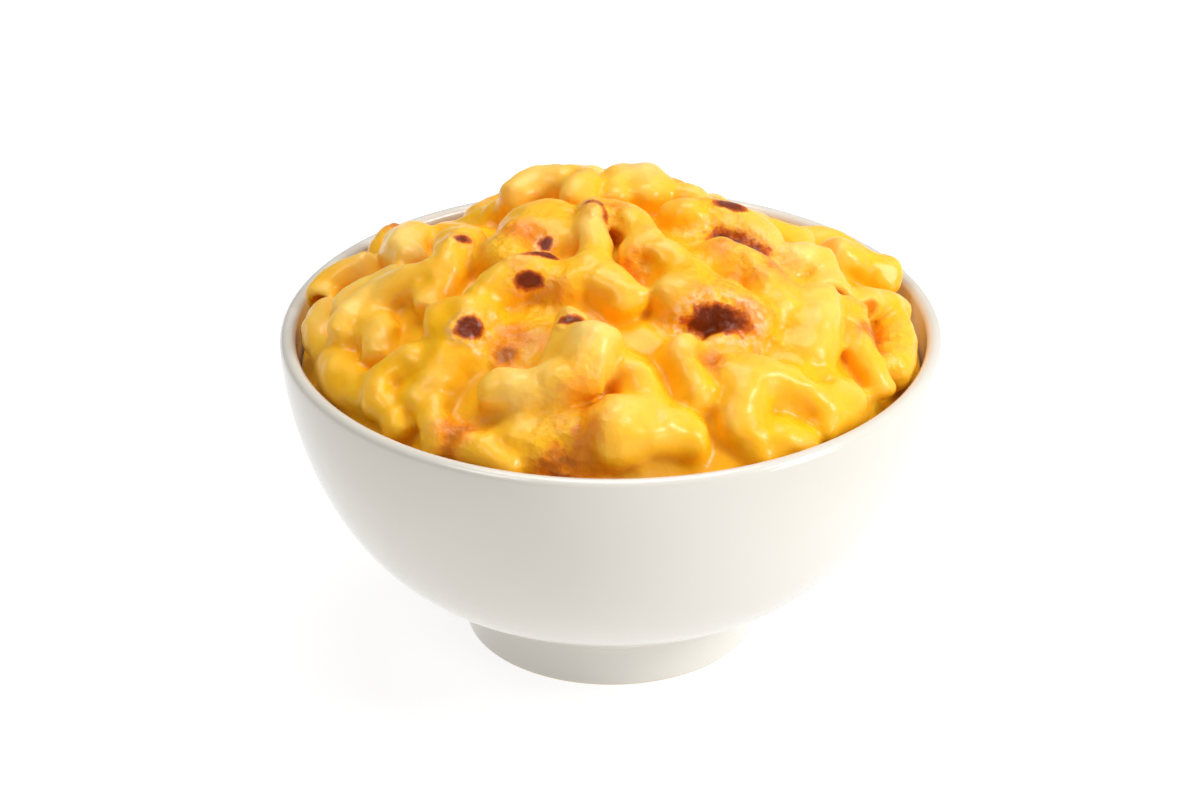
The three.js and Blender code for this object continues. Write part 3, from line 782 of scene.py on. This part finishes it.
def bowl_profile():
    """The bowl's outline as (radius, height), from under the foot, up, over and down inside."""
    narrowing = (FOOT_TOP_RADIUS / RIM_RADIUS) ** RADIUS_POWER
    foot_depth = BODY_DEPTH * (1 - narrowing) ** (1 / DEPTH_POWER)
    ring_inside = FOOT_RADIUS - FOOT_RING
    fillet_centre = (ring_inside - RECESS_FILLET, FOOT_RECESS - RECESS_FILLET)
    outline = [(0, FOOT_RECESS), (ring_inside - RECESS_BAND, FOOT_RECESS)]
    outline += arc(fillet_centre, RECESS_FILLET, 90, 0, EDGE_STEPS)
    outline += arc((ring_inside + FOOT_EDGE, FOOT_EDGE), FOOT_EDGE, 180, 270, EDGE_STEPS)
    outline += arc((FOOT_RADIUS - FOOT_EDGE, FOOT_EDGE), FOOT_EDGE, 270, 360, EDGE_STEPS)
    foot_top = RIM_HEIGHT - foot_depth
    outline += [(FOOT_TOP_RADIUS + out, foot_top + up) for out, up in CREASE]
    for share in np.linspace(*OUTER_SHARES, OUTER_STEPS):
        depth = foot_depth * math.cos(math.pi / 2 * share)
        radius = float(curve_radius(RIM_RADIUS, depth, BODY_DEPTH))
        outline.append((radius, RIM_HEIGHT - depth))
    lip_centre = (RIM_RADIUS - LIP_RADIUS, RIM_HEIGHT)
    outline += arc(lip_centre, LIP_RADIUS, *LIP_ANGLES, LIP_STEPS)
    for share in np.linspace(*INNER_SHARES, INNER_STEPS):
        depth = INSIDE_DEPTH * math.sin(math.pi / 2 * share)
        radius = float(curve_radius(INSIDE_RADIUS, depth, INSIDE_DEPTH))
        outline.append((radius, RIM_HEIGHT - depth))
    outline.append((0, RIM_HEIGHT - INSIDE_DEPTH))
    return outline


def turned_mesh(name, outline, segments):
    """An outline that starts and ends on the axis, turned round Z."""
    middle = np.array(outline[1:-1])
    angles = np.linspace(0, 2 * math.pi, segments, endpoint=False)
    radius, height = middle[:, 0][:, None], middle[:, 1][:, None]
    rings = np.stack(
        [radius * np.cos(angles), radius * np.sin(angles), height + 0 * angles], -1
    )
    vertices = [(0, 0, outline[0][1]), *rings.reshape(-1, 3).tolist(), (0, 0, outline[-1][1])]
    last = len(vertices) - 1
    faces = []
    for j in range(segments):
        k = (j + 1) % segments
        faces.append((0, 1 + k, 1 + j))
        for i in range(len(middle) - 1):
            row, above = 1 + i * segments, 1 + (i + 1) * segments
            faces.append((row + j, row + k, above + k, above + j))
        end = 1 + (len(middle) - 1) * segments
        faces.append((end + j, end + k, last))
    return new_mesh_object(name, vertices, faces)


def new_material(name):
    """A node material, its shader and a function that adds a node to it."""
    material = bpy.data.materials.new(name)
    material.use_nodes = True
    nodes, links = material.node_tree.nodes, material.node_tree.links
    shader = nodes["Principled BSDF"]

    def add(kind, inputs=None, **settings):
        node = nodes.new(kind)
        for key, value in settings.items():
            setattr(node, key, value)
        for key, value in (inputs or {}).items():
            if isinstance(value, bpy.types.NodeSocket):
                links.new(value, node.inputs[key])
            else:
                node.inputs[key].default_value = value
        return node

    return material, shader, add, links


def mixed(add, share, low, high):
    """A colour between two others."""
    node = add("ShaderNodeMix", data_type="RGBA")
    tree = node.id_data
    for index, value in ((0, share), (6, low), (7, high)):
        if isinstance(value, bpy.types.NodeSocket):
            tree.links.new(value, node.inputs[index])
        else:
            node.inputs[index].default_value = (*value, 1) if index else value
    return node.outputs[2]


def between(add, value, low, high):
    """How far a value lies from low to high, eased, from 0 to 1."""
    return add(
        "ShaderNodeMapRange",
        {"Value": value, "From Min": low, "From Max": high},
        interpolation_type="SMOOTHSTEP",
    ).outputs["Result"]


def math_of(add, operation, one, two):
    """What a math node makes of two sockets, or of a socket and a number."""
    return add("ShaderNodeMath", {0: one, 1: two}, operation=operation).outputs[0]


# painted shade and highlight: the valley colour is thicker sauce plus painted shade in the
# hollows, the crest colour a thinner coat plus a painted highlight on the tops
VALLEY_SAUCE_AND_SHADE = (0.95, 0.36, 0.004)
SAUCE = (0.98, 0.48, 0.006)
CREST_SAUCE_AND_HIGHLIGHT = (0.97, 0.57, 0.12)
# creamy sauce and painted highlight, laid on the crests of the pale patches
CREAM_AND_HIGHLIGHT = (0.98, 0.65, 0.18)
# baked orange and scorched brown, also used as painted shade in the crevice on the right
BAKED_AND_SHADE = (0.84, 0.27, 0.01)
SCORCHED_AND_SHADE = (0.5, 0.15, 0.02)
HALO = (1.0, 0.66, 0.4)
RED_EDGE = (0.58, 0.11, 0.008)
BROWN = (0.19, 0.025, 0.002)

# Noise in the sauce's colour and skin: how many features to a metre
DRIFT_SCALE = 110
BLOTCH_SCALE = 380
FINE_SCALE = 900
RIPPLE_SCALE = 330
BLISTER_SCALE = 520

# From where to where one colour turns into the next
SAUCE_RELIEF = (-1.4, 1.0)
CREST_RELIEF = (0.7, 2.4)
CREAM_RELIEF = (-0.4, 1.6)
BAKED_AND_SHADE_DRIFT = (0.35, 0.65)
SCORCHED_AND_SHADE_DEPTHS = (0.7, 1.9)
RING_GRAIN = (0.38, 0.6)
RED_BROWNING = (-0.12, 0.12)
DARK_BROWNING = (0.06, 0.36)
DRIFT_RELIEF = 1.6  # millimetres of relief that the drift counts for
BLOTCH_WEIGHT = 1.3  # against the fine grain
RAGGEDNESS = 0.5  # of the spots' edges
BLOTCH_MIDDLE = 0.58  # mean of the blotches, taken off so that spots keep their size
LEAST_CRUST = 0.1  # blisters that even the plain sauce has
RIPPLE_HEIGHT = 0.5  # against the crust's blisters


def cheese_material():
    """Cheese sauce: coloured by the heap's relief, its patches and its browned spots, with
    painted shade in the valleys and painted highlight on the crests.
    """
    material, shader, add, links = new_material("cheese_sauce")
    place = add("ShaderNodeTexCoord").outputs["Object"]

    def read(name):
        return add("ShaderNodeAttribute", attribute_name=name).outputs["Fac"]

    def grain(scale, detail):
        node = add("ShaderNodeTexNoise", {"Vector": place, "Scale": scale, "Detail": detail})
        return node.outputs["Fac"]

    def times(one, two):
        return math_of(add, "MULTIPLY", one, two)

    def plus(one, two):
        return math_of(add, "ADD", one, two)

    # valleys, sauce and crests: darker orange in the valleys, partly painted shade, and paler on
    # the crests, partly painted highlight; then the creamy patches, also with painted highlight,
    # and the baked patches, with painted shade in a crevice
    browning, baking_and_shade = read("browning"), read("baking_and_shade")
    drift = grain(DRIFT_SCALE, 3)
    relief = plus(read("relief"), times(drift, DRIFT_RELIEF))
    colour = mixed(add, between(add, relief, *SAUCE_RELIEF), VALLEY_SAUCE_AND_SHADE, SAUCE)
    colour = mixed(add, between(add, relief, *CREST_RELIEF), colour, CREST_SAUCE_AND_HIGHLIGHT)
    pale = times(read("paleness"), between(add, relief, *CREAM_RELIEF))
    colour = mixed(add, pale, colour, CREAM_AND_HIGHLIGHT)
    baked_and_shaded = times(baking_and_shade, between(add, drift, *BAKED_AND_SHADE_DRIFT))
    colour = mixed(add, between(add, baked_and_shaded, 0, 1), colour, BAKED_AND_SHADE)
    colour = mixed(add, between(add, baked_and_shaded, *SCORCHED_AND_SHADE_DEPTHS), colour, SCORCHED_AND_SHADE)

    # browned spots, from the pale ring through red to brown
    fine = grain(FINE_SCALE, 4)
    ring = times(read("ring"), between(add, fine, *RING_GRAIN))
    colour = mixed(add, ring, colour, HALO)
    blotches = plus(times(grain(BLOTCH_SCALE, 3), BLOTCH_WEIGHT), fine)
    ragged = plus(browning, times(blotches, RAGGEDNESS))
    ragged = math_of(add, "SUBTRACT", ragged, BLOTCH_MIDDLE)
    colour = mixed(add, between(add, ragged, *RED_BROWNING), colour, RED_EDGE)
    colour = mixed(add, between(add, ragged, *DARK_BROWNING), colour, BROWN)
    links.new(colour, shader.inputs["Base Color"])

    # fine relief: blisters on the crust, ripples in the sauce
    crust = math_of(add, "MAXIMUM", baking_and_shade, between(add, browning, CRUST_FROM, 0))
    crust = plus(math_of(add, "MINIMUM", crust, 1), LEAST_CRUST)
    cells = add("ShaderNodeTexVoronoi", {"Vector": place, "Scale": BLISTER_SCALE})
    blistered = times(plus(fine, cells.outputs["Distance"]), crust)
    height = plus(blistered, times(grain(RIPPLE_SCALE, 2), RIPPLE_HEIGHT))
    bump = add("ShaderNodeBump", {"Height": height, "Strength": 0.65, "Distance": 0.0006})
    links.new(bump.outputs["Normal"], shader.inputs["Normal"])
    rough = add(
        "ShaderNodeMapRange", {"Value": crust, "To Min": 0.34, "To Max": 0.28}
    ).outputs["Result"]
    links.new(rough, shader.inputs["Roughness"])
    shader.inputs["Subsurface Weight"].default_value = 0.5
    shader.inputs["Subsurface Radius"].default_value = (1.0, 0.45, 0.1)
    shader.inputs["Subsurface Scale"].default_value = 0.003
    shader.inputs["Specular IOR Level"].default_value = 0.22
    shader.inputs["Coat Weight"].default_value = 0.16
    shader.inputs["Coat Roughness"].default_value = 0.12
    return material


GLAZE_DARKER = (0.69, 0.655, 0.585)
GLAZE_LIGHTER = (0.72, 0.685, 0.62)
BARE_CLAY = (0.7, 0.62, 0.5)
GLAZE_ENDS = (0.0009, 0.0004)  # metres over the ground, where the glaze turns to bare clay


def glaze_material():
    """White glaze, a little cloudy, with bare clay where the foot stands."""
    material, shader, add, links = new_material("white_glaze")
    place = add("ShaderNodeTexCoord").outputs["Object"]
    cloud = add("ShaderNodeTexNoise", {"Vector": place, "Scale": 22.0, "Detail": 2.0})
    tone = between(add, cloud.outputs["Fac"], 0.3, 0.7)
    colour = mixed(add, tone, GLAZE_DARKER, GLAZE_LIGHTER)
    height = add("ShaderNodeSeparateXYZ", {0: place}).outputs["Z"]
    bare = between(add, height, *GLAZE_ENDS)
    colour = mixed(add, bare, colour, BARE_CLAY)
    links.new(colour, shader.inputs["Base Color"])
    rough = add(
        "ShaderNodeMapRange", {"Value": bare, "To Min": 0.16, "To Max": 0.75}
    ).outputs["Result"]
    links.new(rough, shader.inputs["Roughness"])
    ripple = add("ShaderNodeTexNoise", {"Vector": place, "Scale": 60.0, "Detail": 1.0})
    bump = add(
        "ShaderNodeBump",
        {"Height": ripple.outputs["Fac"], "Strength": 0.12, "Distance": 0.0006},
    )
    links.new(bump.outputs["Normal"], shader.inputs["Normal"])
    shader.inputs["Coat Weight"].default_value = 0.3
    shader.inputs["Coat Roughness"].default_value = 0.05
    return material


def floor_material():
    """A white sweep lit from below, as in a studio."""
    material, shader, _, _ = new_material("pale_floor")
    shader.inputs["Base Color"].default_value = (0.3, 0.3, 0.3, 1)
    shader.inputs["Emission Color"].default_value = (1, 1, 1, 1)
    shader.inputs["Emission Strength"].default_value = 0.8
    shader.inputs["Roughness"].default_value = 0.9
    shader.inputs["Specular IOR Level"].default_value = 0.1
    return material


# Camera, fitted to the photograph
VIEW_DISTANCE = 700
VIEW_ELEVATION = 26.6
FOCAL_PIXELS = 3700
IMAGE_WIDTH = 1200
SENSOR = 36
AIM = (-2.1, 0, 46.7)

# Lights: name, place in metres, diameter in metres, power in watts, colour
LIGHTS = [
    ("key", (0.95, -0.35, 0.75), 0.45, 8.5, (0.98, 0.99, 1.0)),
    ("top", (0.0, 0.25, 1.2), 0.8, 8, (1, 1, 1)),
    ("side", (1.0, -0.5, 0.12), 0.5, 3.5, (0.97, 0.99, 1.0)),
    ("fill", (-0.6, -0.45, 1.0), 0.5, 3.0, (1, 0.99, 0.96)),
]
LIGHT_TARGET = (0, 0, 0.06)
WORLD_LEFT = 0.03
WORLD_RIGHT = 0.45
FLOOR_HALF = 4000


def turned_towards(thing, target):
    """Points a camera or a light at a place given in metres."""
    direction = target - thing.location
    thing.rotation_euler = direction.to_track_quat("-Z", "Y").to_euler()


def make_camera():
    """A camera that sees the bowl as the photograph does."""
    data = bpy.data.cameras.new("camera")
    data.sensor_width = SENSOR
    data.lens = FOCAL_PIXELS / IMAGE_WIDTH * SENSOR
    camera = bpy.data.objects.new("camera", data)
    elevation = math.radians(VIEW_ELEVATION)
    y = -VIEW_DISTANCE * math.cos(elevation)
    z = RIM_HEIGHT + VIEW_DISTANCE * math.sin(elevation)
    camera.location = Vector((0, y * MM, z * MM))
    turned_towards(camera, Vector(AIM) * MM)
    bpy.context.scene.collection.objects.link(camera)
    bpy.context.scene.camera = camera


def make_light(name, place, size, power, colour):
    """A round area light that points at the food."""
    data = bpy.data.lights.new(name, "AREA")
    data.shape = "DISK"
    data.size = size
    data.energy = power
    data.color = colour
    light = bpy.data.objects.new(name, data)
    light.location = Vector(place)
    turned_towards(light, Vector(LIGHT_TARGET))
    bpy.context.scene.collection.objects.link(light)


def make_world():
    """Pale studio walls, brighter on the right."""
    world = bpy.data.worlds.new("studio")
    world.use_nodes = True
    nodes, links = world.node_tree.nodes, world.node_tree.links
    place = nodes.new("ShaderNodeTexCoord")
    parts = nodes.new("ShaderNodeSeparateXYZ")
    links.new(place.outputs["Generated"], parts.inputs[0])
    spread = nodes.new("ShaderNodeMapRange")
    links.new(parts.outputs["X"], spread.inputs["Value"])
    spread.inputs["From Min"].default_value = -1
    spread.inputs["To Min"].default_value = WORLD_LEFT
    spread.inputs["To Max"].default_value = WORLD_RIGHT
    background = nodes["Background"]
    background.inputs["Color"].default_value = (1, 1, 1, 1)
    links.new(spread.outputs["Result"], background.inputs["Strength"])
    bpy.context.scene.world = world


def make_floor():
    """The ground that the bowl stands on, far wider than the view."""
    signs = [(-1, -1), (1, -1), (1, 1), (-1, 1)]
    corners = [(x * FLOOR_HALF, y * FLOOR_HALF, 0) for x, y in signs]
    floor = new_mesh_object("floor", corners, [(0, 1, 2, 3)])
    floor.data.materials.append(floor_material())


make_camera()
make_world()
for light in LIGHTS:
    make_light(*light)
make_floor()

bowl = turned_mesh("glazed_bowl", bowl_profile(), BOWL_SEGMENTS)
bowl.data.materials.append(glaze_material())
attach(bowl, "root")
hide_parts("bowl")

heap = make_heap()
heap.data.materials.append(cheese_material())
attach(heap, "root")
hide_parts("macaroni_heap")

bpy.context.scene.view_settings.view_transform = "Standard"
bpy.context.scene.view_settings.look = "None"
